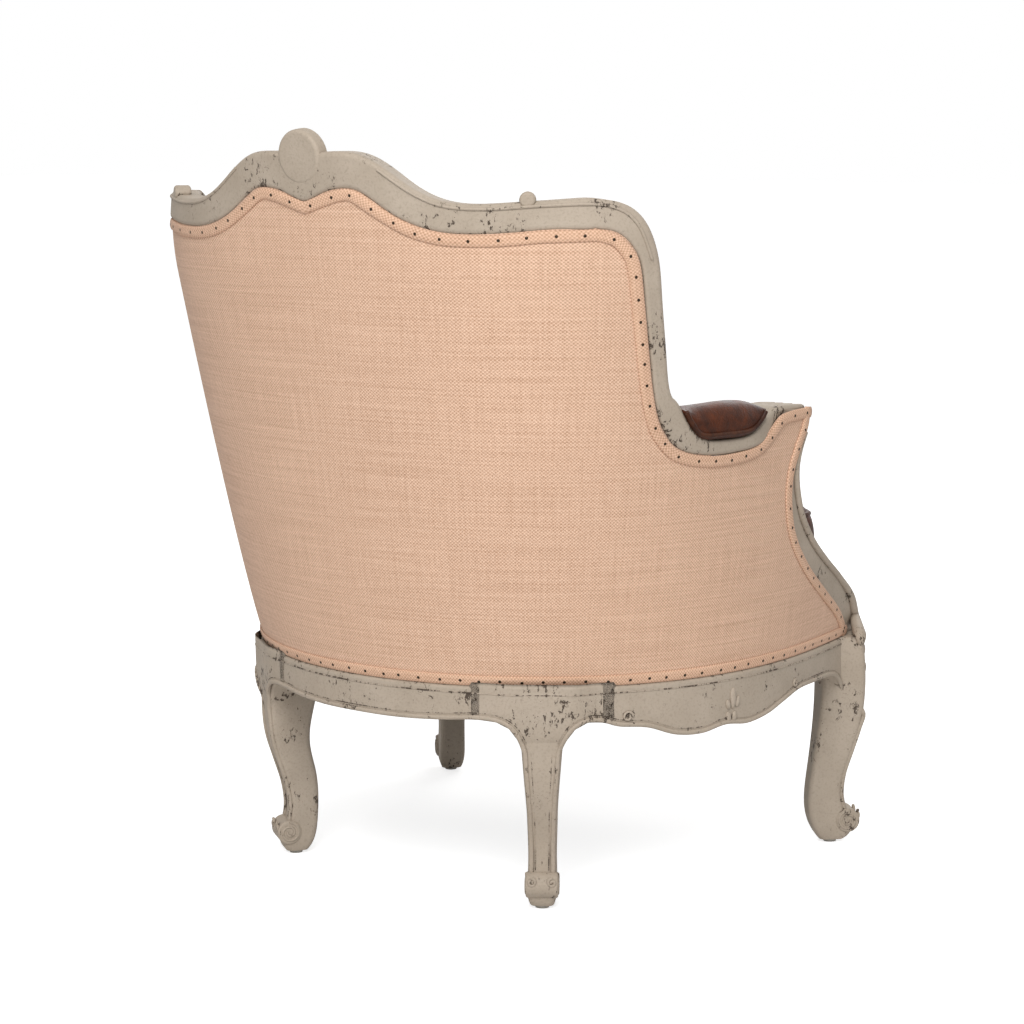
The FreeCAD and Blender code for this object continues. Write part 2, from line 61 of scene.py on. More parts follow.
outX = -np.gradient(planY, planS)
outY = np.gradient(planX, planS)


def outwardAt(s):
    return Vector((np.interp(s, planS, outX), np.interp(s, planS, outY), 0)).normalized()


def wall(s, z, depth=0.0):
    out = outwardAt(s)
    turn = min(abs(math.atan2(out.x, out.y)), math.pi / 2)
    middle = (lean["rear"] + lean["side"]) / 2
    bulge = (lean["corner"] - middle) / 2 * (1 - math.cos(4 * turn))
    # the corners lean in again near the crest
    drawnIn = 1 - lean["turnIn"] * max(z - lean["turnInHeight"], 0) ** 2
    leanOut = middle + (lean["rear"] - middle) * math.cos(2 * turn) + bulge * drawnIn
    rise = max(z - tub["sill"], 0) / (tub["top"] - tub["sill"])
    spot = Vector((np.interp(s, planS, planX), np.interp(s, planS, planY), z))
    return (spot + out * (leanOut * rise ** lean["power"] - depth)) / 1000


curveCuts = 24  # points worked out between two given ones, before they are spaced evenly


def smooth(points, step):
    # evenly spaced points on a rounded line through a few given ones
    points = np.array(points, float)
    ends = np.vstack([2 * points[0] - points[1], points, 2 * points[-1] - points[-2]])
    rows = []
    for a, b, c, d in zip(ends, ends[1:], ends[2:], ends[3:]):
        for t in np.linspace(0, 1, curveCuts, endpoint=False):
            square = (2 * a - 5 * b + 4 * c - d) * t**2
            cube = (3 * b - a - 3 * c + d) * t**3
            rows.append(0.5 * (2 * b + (c - a) * t + square + cube))
    rows = np.array(rows + [points[-1]])
    run = np.concatenate([[0], np.cumsum(np.linalg.norm(np.diff(rows, axis=0), axis=1))])
    even = np.linspace(0, run[-1], max(int(round(run[-1] / step)), 2) + 1)
    return np.stack([np.interp(even, run, rows[:, k]) for k in range(rows.shape[1])], axis=1)


def beside(path, distance):
    # the same (s, z) path moved to its right-hand side
    heading = np.gradient(path, axis=0)
    heading /= np.linalg.norm(heading, axis=1)[:, None]
    return path + np.stack([heading[:, 1], -heading[:, 0]], axis=1) * distance


def flip(points):
    return [Vector((-p.x, p.y, p.z)) for p in points]


# The camera of the photograph, fitted to the feet and the symmetry of the chair
photoView = {"place": (-2.1892, 2.8833, 0.9982), "turn": 217.615, "down": 8.333, "lens": 92.06, "sensor": 36}
cameraData = bpy.data.cameras.new("photoCamera")
cameraData.lens = photoView["lens"]
cameraData.sensor_width = photoView["sensor"]
camera = bpy.data.objects.new("photoCamera", cameraData)
camera.location = Vector(photoView["place"]) - Vector((0, shift / 1000, 0))
camera.rotation_euler = (math.radians(90 - photoView["down"]), 0, math.radians(photoView["turn"]))
scene.collection.objects.link(camera)
scene.camera = camera


def colour(hexText):
    channels = [int(hexText[i : i + 2], 16) / 255 for i in (0, 2, 4)]
    return tuple(c / 12.92 if c <= 0.04045 else ((c + 0.055) / 1.055) ** 2.4 for c in channels) + (1,)


def newMaterial(name, **values):
    material = bpy.data.materials.new(name)
    material.use_nodes = True
    shader = material.node_tree.nodes["Principled BSDF"]
    for key, value in values.items():
        shader.inputs[key.replace("_", " ")].default_value = value
    return material, material.node_tree, shader.inputs


def addNode(tree, kind, inputs, output=0, **settings):
    made = tree.nodes.new("ShaderNode" + kind)
    for key, value in settings.items():
        setattr(made, key, value)
    for key, value in inputs.items():
        if isinstance(value, bpy.types.NodeSocket):
            tree.links.new(value, made.inputs[key])
        else:
            made.inputs[key].default_value = value
    return made.outputs[output]


def paintedBeech(name, wear, edgeWear):
    # chalk paint rubbed back over dark stain: matt grey, faintly mottled, with small dark chips;
    # painted shade darkens hollows and the gaps between parts and adds chips there;
    # wear says how many chips there are and edgeWear how far they gather on the edges
    material, tree, shader = newMaterial(name, Roughness=0.6, Specular_IOR_Level=0.3)
    place = addNode(tree, "TexCoord", {}, "Object")
    upright = addNode(tree, "Mapping", {"Vector": place, "Scale": (1, 1, 0.6)})
    mottle = addNode(tree, "TexNoise", {"Vector": place, "Scale": 1 / 0.05, "Detail": 5})
    brushed = addNode(tree, "TexNoise", {"Vector": place, "Scale": 1 / 0.003, "Detail": 3})
    flecks = addNode(tree, "TexNoise", {"Vector": upright, "Scale": 1 / 0.0055, "Detail": 8, "Roughness": 0.7,
                                        "Distortion": 0.4})
    patches = addNode(tree, "TexNoise", {"Vector": place, "Scale": 1 / 0.045, "Detail": 2})
    # occlusion within 7 mm finds hollows, corners and gaps between parts, for the painted shade below
    hollow = addNode(tree, "AmbientOcclusion", {"Distance": 0.007}, "AO", samples=6)
    shade = addNode(tree, "Math", {0: 1.0, 1: hollow}, operation="SUBTRACT")
    solid = addNode(tree, "AmbientOcclusion", {"Distance": 0.005}, "AO", samples=6, inside=True,
                    only_local=True)
    rim = addNode(tree, "Math", {0: 1.0, 1: solid}, operation="SUBTRACT")
    tone = addNode(tree, "Mix", {0: mottle, 6: colour("a39584"), 7: colour("bdaf9f")}, 2, data_type="RGBA")
    dusty = addNode(tree, "MapRange", {"Value": brushed, "From Min": 0.5, "From Max": 0.78, "To Max": 0.45})
    tone = addNode(tree, "Mix", {0: dusty, 6: tone, 7: colour("8f8373")}, 2, data_type="RGBA")
    # painted shade: occluded hollows and gaps are mixed toward the dark brown 57493b
    paintedHollowShade = addNode(tree, "MapRange", {"Value": shade, "From Min": 0.2, "From Max": 0.9, "To Max": 0.75})
    tone = addNode(tree, "Mix", {0: paintedHollowShade, 6: tone, 7: colour("57493b")}, 2, data_type="RGBA")
    level = addNode(tree, "Math", {0: patches, 1: 0.6, 2: flecks}, operation="MULTIPLY_ADD")
    # painted shade also adds dark chips where the surface is occluded
    level = addNode(tree, "Math", {0: shade, 1: 0.12, 2: level}, operation="MULTIPLY_ADD")
    level = addNode(tree, "Math", {0: rim, 1: edgeWear, 2: level}, operation="MULTIPLY_ADD")
    chips = addNode(tree, "MapRange", {"Value": level, "From Min": 0.985 - wear, "From Max": 1.01 - wear,
                                       "To Max": 0.9}, interpolation_type="SMOOTHSTEP")
    tone = addNode(tree, "Mix", {0: chips, 6: tone, 7: colour("3a2d23")}, 2, data_type="RGBA")
    tree.links.new(tone, shader["Base Color"])
    height = addNode(tree, "Math", {0: chips, 1: -0.9, 2: brushed}, operation="MULTIPLY_ADD")
    bump = addNode(tree, "Bump", {"Height": height, "Distance": 0.0007, "Strength": 0.6})
    tree.links.new(bump, shader["Normal"])
    return material


def bareBeech():
    # planed beech inside the frame: straight pale grain
    material, tree, shader = newMaterial("bareBeech", Roughness=0.6)
    place = addNode(tree, "TexCoord", {}, "Object")
    along = addNode(tree, "Mapping", {"Vector": place, "Scale": (1, 1, 0.08)})
    grain = addNode(tree, "TexNoise", {"Vector": along, "Scale": 1 / 0.004, "Detail": 5})
    tone = addNode(tree, "Mix", {0: grain, 6: colour("a8835c"), 7: colour("8a6743")}, 2, data_type="RGBA")
    tree.links.new(tone, shader["Base Color"])
    tree.links.new(addNode(tree, "Bump", {"Height": grain, "Distance": 0.0003}), shader["Normal"])
    return material


def wovenHessian(name, light, dark, thread):
    # jute hessian in plain weave: matt and hairy, over-and-under threads with a few thicker ones;
    # thread is their spacing
    material, tree, shader = newMaterial(name, Roughness=0.92, Specular_IOR_Level=0.2, Sheen_Weight=0.1,
                                         Sheen_Roughness=0.5)
    place = addNode(tree, "TexCoord", {}, "Object")
    cloth = addNode(tree, "UVMap", {}, uv_map="cloth")
    wander = addNode(tree, "TexNoise", {"Vector": place, "Scale": 1 / 0.06, "Detail": 3}, "Color")
    drift = (0.002, 0.002, 0)
    drawn = addNode(tree, "VectorMath", {0: wander, 1: drift, 2: cloth}, operation="MULTIPLY_ADD")
    turned = addNode(tree, "VectorMath", {0: drawn, 1: (math.pi / thread,) * 3}, operation="MULTIPLY")
    waves = addNode(tree, "VectorMath", {0: turned}, operation="SINE")
    across = addNode(tree, "SeparateXYZ", {0: waves}, 0)
    weave = addNode(tree, "Math", {0: across, 1: across.node.outputs[1]}, operation="MULTIPLY")
    warpPlace = addNode(tree, "Mapping", {"Vector": drawn, "Scale": (1, 0.03, 1)})
    weftPlace = addNode(tree, "Mapping", {"Vector": drawn, "Scale": (0.02, 1, 1)})
    warp = addNode(tree, "TexNoise", {"Vector": warpPlace, "Scale": 1 / 0.003, "Detail": 2})
    weft = addNode(tree, "TexNoise", {"Vector": weftPlace, "Scale": 1 / 0.003, "Detail": 2})
    slubs = addNode(tree, "Math", {0: warp, 1: 0.6, 2: weft}, operation="MULTIPLY_ADD")
    slubs = addNode(tree, "Math", {0: slubs, 1: 0.6, 2: 0.3}, operation="MULTIPLY_ADD")
    fuzz = addNode(tree, "TexNoise", {"Vector": place, "Scale": 1 / 0.0016, "Detail": 2})
    level = addNode(tree, "Math", {0: weave, 1: 0.42, 2: slubs}, operation="MULTIPLY_ADD")
    level = addNode(tree, "Math", {0: fuzz, 1: 0.9, 2: level}, operation="MULTIPLY_ADD")
    threads = addNode(tree, "MapRange", {"Value": level, "From Min": 0.7, "From Max": 1.65})
    tone = addNode(tree, "Mix", {0: threads, 6: colour(dark), 7: colour(light)}, 2, data_type="RGBA")
    tree.links.new(tone, shader["Base Color"])
    height = addNode(tree, "Math", {0: weave, 1: 0.6, 2: slubs}, operation="MULTIPLY_ADD")
    bump = addNode(tree, "Bump", {"Height": height, "Distance": 0.0005, "Strength": 0.5})
    tree.links.new(bump, shader["Normal"])
    return material


def waxedLeather(name, light, dark, rough):
    # pull-up cowhide: brown that lightens where it is stretched, dark in its creases, with a waxy shine
    material, tree, shader = newMaterial(name, Roughness=rough, Specular_IOR_Level=0.24)
    place = addNode(tree, "TexCoord", {}, "Object")
    pulled = addNode(tree, "TexNoise", {"Vector": place, "Scale": 1 / 0.035, "Detail": 5, "Roughness": 0.62,
                                        "Distortion": 0.8})
    creases = addNode(tree, "TexNoise", {"Vector": place, "Scale": 1 / 0.012, "Detail": 6, "Roughness": 0.65,
                                         "Distortion": 1.6})
    grain = addNode(tree, "TexVoronoi", {"Vector": place, "Scale": 1 / 0.0022})
    blend = addNode(tree, "MapRange", {"Value": pulled, "From Min": 0.3, "From Max": 0.72})
    tone = addNode(tree, "Mix", {0: blend, 6: colour(dark), 7: colour(light)}, 2, data_type="RGBA")
    sunk = addNode(tree, "MapRange", {"Value": creases, "From Min": 0.5, "From Max": 0.7, "To Max": 0.5})
    tone = addNode(tree, "Mix", {0: sunk, 6: tone, 7: colour("1c0d07")}, 2, data_type="RGBA")
    tree.links.new(tone, shader["Base Color"])
    gloss = addNode(tree, "MapRange", {"Value": pulled, "To Min": rough - 0.1, "To Max": rough + 0.14})
    tree.links.new(gloss, shader["Roughness"])
    height = addNode(tree, "Math", {0: grain, 1: 0.3, 2: creases}, operation="MULTIPLY_ADD")
    bump = addNode(tree, "Bump", {"Height": height, "Distance": 0.0014, "Strength": 0.5})
    tree.links.new(bump, shader["Normal"])
    return material


def plainCloth(name, light, dark, thread):
    # matt cloth with threads that show as fine streaks
    material, tree, shader = newMaterial(name, Roughness=0.92, Specular_IOR_Level=0.2)
    place = addNode(tree, "TexCoord", {}, "Object")
    along = addNode(tree, "Mapping", {"Vector": place, "Scale": (1, 0.1, 1)})
    threads = addNode(tree, "TexNoise", {"Vector": along, "Scale": 1 / thread, "Detail": 2})
    tone = addNode(tree, "Mix", {0: threads, 6: colour(dark), 7: colour(light)}, 2, data_type="RGBA")
    tree.links.new(tone, shader["Base Color"])
    tree.links.new(addNode(tree, "Bump", {"Height": threads, "Distance": 0.0005}), shader["Normal"])
    return material


def agedMetal(name, light, dark, rough):
    # small metal heads, darkened in spots
    material, tree, shader = newMaterial(name, Roughness=rough, Metallic=0.85)
    place = addNode(tree, "TexCoord", {}, "Object")
    spots = addNode(tree, "TexNoise", {"Vector": place, "Scale": 1 / 0.003, "Detail": 3})
    tone = addNode(tree, "Mix", {0: spots, 6: colour(dark), 7: colour(light)}, 2, data_type="RGBA")
    tree.links.new(tone, shader["Base Color"])
    return material


paint = paintedBeech("chalkPaintedBeech", 0.035, 0.1)
mouldedPaint = paintedBeech("mouldedChalkPaint", 0.06, 0.0)
# heavy chips for the groove lines: real chips in the grooves and painted shade for their recess
grooveChipsAndShadePaint = paintedBeech("grooveChipsAndShadeChalkPaint", 0.16, 0.0)
beech = bareBeech()
# real threads are about 1.5 mm apart: 2.1 mm is as fine as the render can show
hessian = wovenHessian("juteHessian", "eecab0", "b0886c", 0.0021)
hessianTape = wovenHessian("foldedHessianTape", "eac4a8", "b48a6e", 0.0021)
leather = waxedLeather("waxedCowhide", "5c2a0c", "230c03", 0.38)
weltLeather = waxedLeather("rolledCowhide", "522a11", "281007", 0.42)
finishes = {
    "corner_block_screws": agedMetal("zincPlatedSteel", "a9a9a6", "77777a", 0.35),
    "foot_glides": plainCloth("pressedFelt", "dad6cd", "bdb8ad", 0.003),
    "seat_webbing": plainCloth("juteWebbing", "a98c66", "7d6342", 0.004),
    "dust_cover": plainCloth("blackCambric", "1d1c1b", "0d0d0c", 0.002),
    "rail_dowels": beech,
}
finishes["back_webbing"] = finishes["seat_webbing"]
nailMetal = agedMetal("darkenedIron", "57483a", "17110c", 0.4)
for name, node in nodes.items():
    inner = "post" in name or "block" in name
    node.data.materials.clear()
    node.data.materials.append(finishes.get(name, beech if inner else paint))
print("stage: materials")


def addPiece(name, shape, finish, body="frame"):
    mesh = bpy.data.meshes.new(name)
    shape.to_mesh(mesh)
    shape.free()
    mesh.polygons.foreach_set("use_smooth", [True] * len(mesh.polygons))
    mesh.materials.append(finish)
    piece = bpy.data.objects.new(name, mesh)
    scene.collection.objects.link(piece)
    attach(piece, body)
    return piece


def addBead(shape, points, radius, closed=False):
    # a round moulding along a line of points, radius in mm, added to a bmesh
    curve = bpy.data.curves.new("bead", "CURVE")
    curve.dimensions = "3D"
    curve.bevel_depth = 0.001  # a radius of 1 on a point is 1 mm
    curve.bevel_resolution = 2
    curve.use_fill_caps = True
    line = curve.splines.new("POLY")
    line.points.add(len(points) - 1)
    line.use_cyclic_u = closed
    radii = np.broadcast_to(radius, len(points))
    for spot, place, width in zip(line.points, points, radii):
        spot.co = (*place, 1)
        spot.radius = width
    holder = bpy.data.objects.new("bead", curve)
    mesh = bpy.data.meshes.new_from_object(holder)
    shape.from_mesh(mesh)
    bpy.data.objects.remove(holder)
    bpy.data.curves.remove(curve)
    bpy.data.meshes.remove(mesh)


lobeFaces = {"around": 12, "down": 8}


def addLobe(shape, place, across, up, size, tilt=0.0):
    # a carved leaf or berry: a ball squashed to (width, height, relief) in mm
    out = across.cross(up)
    turned = Matrix.Rotation(math.radians(tilt), 3, out)
    basis = Matrix((turned @ across, turned @ up, out)).transposed().to_4x4()
    stretch = Matrix.Diagonal((*[0.001 * d for d in size], 1))
    bmesh.ops.create_uvsphere(shape, u_segments=lobeFaces["around"], v_segments=lobeFaces["down"], radius=1,
                              matrix=Matrix.Translation(place) @ basis @ stretch)


def thicken(piece, label, thickness):
    layer = piece.modifiers.new(label, "SOLIDIFY")
    layer.thickness = thickness / 1000
    layer.offset = -1


# Hessian cover: one sheet from arm to arm, from the seat rail up to the show wood
coverEdge = [(0, 908), (22, 917), (45, 924), (64, 923), (96, 901), (128, 882), (160, 873), (200, 872),
             (225, 874), (250, 877), (275, 878), (300, 879), (311, 877), (324, 871), (335, 858),
             (344, 838), (351, 790), (358, 738), (366, 684), (375, 645), (386, 622), (408, 601),
             (450, 591), (500, 591), (536, 597), (560, 613), (580, 630), (604, 635), (648, 637)]
frontEdge = [(648, 637), (644, 610), (631, 583), (620, 556), (618, 529), (623, 500), (634, 472),
             (655, 444), (692, 411), (745, 376), (800, 342), (832, 312), (838, 298)]
cover = {"thickness": 2.2, "proud": 0.2, "tuck": 2.0, "rows": 60, "columns": 260, "seam": 450, "backShare": 0.7,
         "cut": (1.7, 0.66)}
topLine = smooth(coverEdge, 2)
frontLine = smooth(frontEdge, 2)


def topAt(s):
    return np.interp(s, topLine[:, 0], topLine[:, 1])


def frontAt(z):
    return np.interp(z, frontLine[::-1, 1], frontLine[::-1, 0])


def makeCover():
    shape = bmesh.new()
    bmesh.ops.create_grid(shape, x_segments=cover["columns"], y_segments=cover["rows"], size=1)
    cloth = shape.loops.layers.uv.new("cloth")
    placeOf = {}
    for vertex in shape.verts:
        share = abs(vertex.co.x)
        rise = (vertex.co.y + 1) / 2
        if share <= cover["backShare"]:
            s = cover["seam"] * share / cover["backShare"]
            z = tub["sill"] + rise * (topAt(s) + cover["tuck"] - tub["sill"])
        else:
            towardsFront = (share - cover["backShare"]) / (1 - cover["backShare"])
            tip = cover["seam"] + towardsFront * (frontEdge[0][0] - cover["seam"])
            z = tub["sill"] + rise * (topAt(tip) - tub["sill"])
            s = cover["seam"] + towardsFront * (frontAt(z) - cover["seam"])
        placeOf[vertex] = (math.copysign(s, vertex.co.x), z)
    for vertex, (s, z) in placeOf.items():
        vertex.co = wall(s, z, -cover["proud"])
    for face in shape.faces:
        for loop in face.loops:
            s, z = placeOf[loop.vert]
            loop[cloth].uv = (s / 1000, z / 1000)
    bmesh.ops.recalc_face_normals(shape, faces=shape.faces)
    if min(shape.verts, key=lambda v: abs(v.co.x)).normal.y < 0:
        bmesh.ops.reverse_faces(shape, faces=shape.faces)
    area = sum(face.calc_area() for face in shape.faces)
    piece = addPiece("hessianCover", shape, hessian)
    thicken(piece, "thickness", cover["thickness"])
    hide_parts("outside_back_cover", "outside_arm_cover_left", "outside_arm_cover_right")


makeCover()

# Folded tape along every edge of the cover, with the nails that hold it
tape = {"width": 13.0, "thickness": 2.0, "inset": 0.5, "step": 5.0, "across": 12, "fold": 1.2,
        "stitch": 0.5, "stitchAt": 0.7, "stitchWidth": 0.1, "edgePower": 6}
nail = {"radius": 2.9, "height": 2.0, "pitch": 27.0, "wander": 2.5, "stray": 0.8, "sunk": 0.2, "endGap": 6,
        "seed": 7}
sillEdge = [(838, 298), (400, 298), (0, 298), (-400, 298), (-838, 298)]
topHalf = smooth(coverEdge, tape["step"])
frontHalf = smooth(frontEdge, tape["step"])
mirrorPath = np.array([-1, 1])
tapePaths = [
    np.vstack([(topHalf * mirrorPath)[::-1], topHalf[1:]]),
    frontHalf,
    (frontHalf * mirrorPath)[::-1],
    smooth(sillEdge, tape["step"]),
]


def makeTape():
    shape = bmesh.new()
    cloth = shape.loops.layers.uv.new("cloth")
    for path in tapePaths:
        spots = len(path) - 1
        strip = bmesh.ops.create_grid(shape, x_segments=spots, y_segments=tape["across"], size=1)["verts"]
        placeOf = {}
        for vertex in strip:
            spot = int(round((vertex.co.x + 1) / 2 * spots))
            placeOf[vertex] = (spot, vertex.co.y)
        rows = {}
        for vertex, (spot, t) in placeOf.items():
            if t not in rows:
                rows[t] = beside(path, tape["inset"] + tape["width"] * (1 - t) / 2)
            s, z = rows[t][spot]
            offStitch = (abs(t) - tape["stitchAt"]) / tape["stitchWidth"]
            stitch = tape["stitch"] * math.exp(-(offStitch**2))
            lift = tape["thickness"] * (1 - abs(t) ** tape["edgePower"]) - stitch
            vertex.co = wall(s, z, -cover["proud"] - lift)
        for face in {face for vertex in strip for face in vertex.link_faces}:
            for loop in face.loops:
                spot, t = placeOf[loop.vert]
                loop[cloth].uv = (spot * tape["step"] / 1000, t * tape["width"] / 2000)
    piece = addPiece("hessianTape", shape, hessianTape)
    thicken(piece, "fold", tape["fold"])
    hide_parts("cover_tape")


def makeNails():
    shape = bmesh.new()
    random = np.random.RandomState(nail["seed"])
    for path in tapePaths:
        middle = beside(path, tape["inset"] + tape["width"] / 2)
        run = np.concatenate([[0], np.cumsum(np.linalg.norm(np.diff(middle, axis=0), axis=1))])
        for spot in np.arange(nail["pitch"] / 2, run[-1] - nail["endGap"], nail["pitch"]):
            spot += random.uniform(-nail["wander"], nail["wander"])
            s = np.interp(spot, run, middle[:, 0])
            z = np.interp(spot, run, middle[:, 1]) + random.uniform(-nail["stray"], nail["stray"])
            across = (wall(s + 1, z) - wall(s - 1, z)).normalized()
            up = (wall(s, z + 1) - wall(s, z - 1)).normalized()
            place = wall(s, z, -cover["proud"] - tape["thickness"] + nail["sunk"])
            addLobe(shape, place, across, up, (nail["radius"], nail["radius"], nail["height"]))
    addPiece("tapeNails", shape, nailMetal)


makeTape()
makeNails()
print("stage: cover, tape and nails")

# Legs by height (mm): how far the outer face stands from the foot centre, and the width
legs = {
    "rear": {"foot": (211, 251), "turn": 35, "scrollReach": 20, "step": 4,
             "rows": [(5, 22, 30), (25, 27, 38), (50, 20, 37), (85, 19, 37), (125, 30, 39), (170, 43, 45),
                      (215, 47, 52), (255, 51, 58), (298, 52, 60)]},
    "front": {"foot": (347, -250), "turn": 135, "scrollReach": 18, "step": 4,
              "rows": [(5, 14, 30), (25, 24, 38), (50, 14, 38), (85, 10, 38), (125, 21, 40), (170, 34, 46),
                       (215, 39, 54), (255, 38, 60), (298, 32, 62)]},
}
for leg in legs.values():
    leg["rows"] = smooth(leg["rows"], leg["step"])
ridge = {"radius": 3.4, "inset": 4.5, "sink": 1.0}
scroll = {"height": 33, "halfWidth": 20.4, "radius": 14.5, "bead": 2.0, "turns": 1.8}
toeScroll = {"out": 15.8, "up": 7, "aside": 13.5, "radius": 6, "bead": 2.2, "turns": 1.3}
curl = {"perTurn": 20, "tighten": 0.8}


def legAxes(leg):
    angle = math.radians(leg["turn"])
    out = Vector((math.sin(angle), math.cos(angle), 0))
    return Vector((leg["foot"][0], leg["foot"][1] - shift, 0)), out, Vector((out.y, -out.x, 0))


def legSpot(leg, z, across, lift=0.0):
    base, out, side = legAxes(leg)
    rows = leg["rows"]
    outer = np.interp(z, rows[:, 0], rows[:, 1])
    half = np.interp(z, rows[:, 0], rows[:, 2]) / 2
    spot = base + out * (outer + lift) + side * across * (half - ridge["inset"]) + Vector((0, 0, z))
    return spot / 1000


def spiral(centre, first, second, radius, turnCount, start=0.0):
    angles = np.linspace(0, 2 * math.pi * turnCount, int(curl["perTurn"] * turnCount))
    points = []
    for angle in angles:
        r = radius * (1 - curl["tighten"] * angle / angles[-1])
        heading = first * math.cos(angle + start) + second * math.sin(angle + start)
        points.append(centre + heading * r / 1000)
    return points


# Mouldings: one line runs down a leg, along the lower edge of a rail and down the next leg
rearLower = [(0, 250), (60, 250), (120, 252), (170, 255), (196, 253), (212, 245), (222, 231), (229, 212)]
sideLower = [(276, 212), (284, 231), (294, 245), (310, 253), (332, 251), (352, 245), (390, 241),
             (430, 228), (470, 225), (510, 231), (550, 227), (590, 232), (630, 243), (670, 252),
             (720, 253), (765, 252), (790, 247), (806, 237), (818, 222), (828, 208)]
moulding = {"inset": 3.0, "sink": 0.5, "step": 5, "fine": 0.005}
groove = {"inset": 8.5, "radius": 0.7, "sink": 0.3, "lowest": 222, "legAside": 0.62,
          "legHeights": range(52, 215, 8)}
band = {"height": 289, "radius": 1.0, "end": 826, "sink": 0.2, "step": 6}
legHeights = (46, 70, 100, 135, 165, 190)
kneeHeights = (222, 250, 280)
knee = {"from": 158, "to": 350, "spread": 50, "cover": 1.2, "sunk": 4.0, "border": 7, "foot": 212,
        "footEase": 22, "top": 297, "thickness": 6, "columns": 96, "rows": 28}


def kneeProud(s, z):
    # how far the paint stands out of the wall where a rear leg runs up into the rails
    leg = legs["rear"]
    base, out, side = legAxes(leg)
    spot = wall(s, z) * 1000
    facing = outwardAt(s)
    rows = leg["rows"]
    outer = np.interp(z, rows[:, 0], rows[:, 1])
    half = np.interp(z, rows[:, 0], rows[:, 2]) / 2
    reachOut = (outer - (spot - base).dot(out)) / facing.dot(out)
    aside = abs((spot + facing * reachOut - base).dot(side)) - half - 1
    fade = min(max(1 - aside / knee["spread"], 0), 1)
    ease = min(max(min(s - knee["from"], knee["to"] - s) / knee["border"], 0), 1)
    ease *= min(max((z - knee["foot"]) / knee["footEase"], 0), 1)
    skin = knee["cover"] * ease - knee["sunk"] * (1 - ease)  # the borders sink into the rails
    return tub["railProud"] + skin + max(reachOut - tub["railProud"], 0) * fade * fade * (3 - 2 * fade)


def railSpot(s, z, lift):
    proud = kneeProud(abs(s), z) if knee["from"] < abs(s) < knee["to"] else tub["railProud"]
    return wall(s, z, -max(proud, tub["railProud"]) - lift)


def smoothed(line):
    return [Vector(p) for p in smooth([tuple(p) for p in line], moulding["fine"])]


def makeKnees():
    # one carved surface where each rear leg spreads into the rails
    lowLine = np.array(rearLower[2:] + sideLower[:6], float)
    shape = bmesh.new()
    bmesh.ops.create_grid(shape, x_segments=knee["columns"], y_segments=knee["rows"], size=1)
    for vertex in shape.verts:
        s = knee["from"] + (vertex.co.x + 1) / 2 * (knee["to"] - knee["from"])
        low = np.interp(s, lowLine[:, 0], lowLine[:, 1])
        z = low + (vertex.co.y + 1) / 2 * (knee["top"] - low)
        vertex.co = wall(s, z, -kneeProud(s, z))
    bmesh.ops.solidify(shape, geom=shape.faces[:], thickness=-knee["thickness"] / 1000)
    bmesh.ops.recalc_face_normals(shape, faces=shape.faces)
    other = bmesh.ops.duplicate(shape, geom=shape.verts[:] + shape.edges[:] + shape.faces[:])["geom"]
    otherFaces = [item for item in other if isinstance(item, bmesh.types.BMFace)]
    for vertex in {corner for face in otherFaces for corner in face.verts}:
        vertex.co.x = -vertex.co.x
    bmesh.ops.reverse_faces(shape, faces=otherFaces)
    addPiece("kneeBlends", shape, mouldedPaint)


def makeMouldings():
    shape = bmesh.new()
    rear = legs["rear"]
    front = legs["front"]
    rearHalf = beside(smooth(rearLower, moulding["step"]), -moulding["inset"])
    sidePath = beside(smooth(sideLower, moulding["step"]), -moulding["inset"])
    rearRail = [railSpot(s, z, -moulding["sink"]) for s, z in rearHalf]
    rearDown = [legSpot(rear, z, -1, -ridge["sink"]) for z in reversed(legHeights)]
    rearBay = flip(reversed(rearDown))
    rearBay += [railSpot(-s, z, -moulding["sink"]) for s, z in rearHalf[:0:-1]] + rearRail + rearDown
    sideBay = [legSpot(rear, z, 1, -ridge["sink"]) for z in legHeights]
    sideBay += [railSpot(s, z, -moulding["sink"]) for s, z in sidePath]
    sideBay += [legSpot(front, z, -1, -ridge["sink"]) for z in reversed(legHeights)]
    frontRidge = [legSpot(front, z, 1, -ridge["sink"]) for z in legHeights + kneeHeights]
    for line in (rearBay, sideBay, flip(sideBay), frontRidge, flip(frontRidge)):
        addBead(shape, smoothed(line), ridge["radius"])
    addPiece("railAndLegMouldings", shape, mouldedPaint)


def makeGrooves():
    # grooves cut by the scratch stock, drawn as thin dark lines of heavily chipped paint: chips in the grooves
    # and painted shade for their recess; under the hessian, inside each moulding and down the leg faces
    shape = bmesh.new()
    path = smooth([(s, band["height"]) for s in (band["end"], 0, -band["end"])], band["step"])
    addBead(shape, [railSpot(s, z, -band["sink"]) for s, z in path], band["radius"])
    lines = []
    for edge in (rearLower, sideLower):
        inner = beside(smooth(edge, moulding["step"]), -groove["inset"])
        lines.append([railSpot(s, z, -groove["sink"]) for s, z in inner if z > groove["lowest"]])
    for leg in legs.values():
        for way in (-groove["legAside"], groove["legAside"]):
            lines.append([legSpot(leg, z, way, -groove["sink"]) for z in groove["legHeights"]])
    for line in lines:
        addBead(shape, line, groove["radius"])
        addBead(shape, flip(line), groove["radius"])
    addPiece("scratchedGrooves", shape, grooveChipsAndShadePaint)


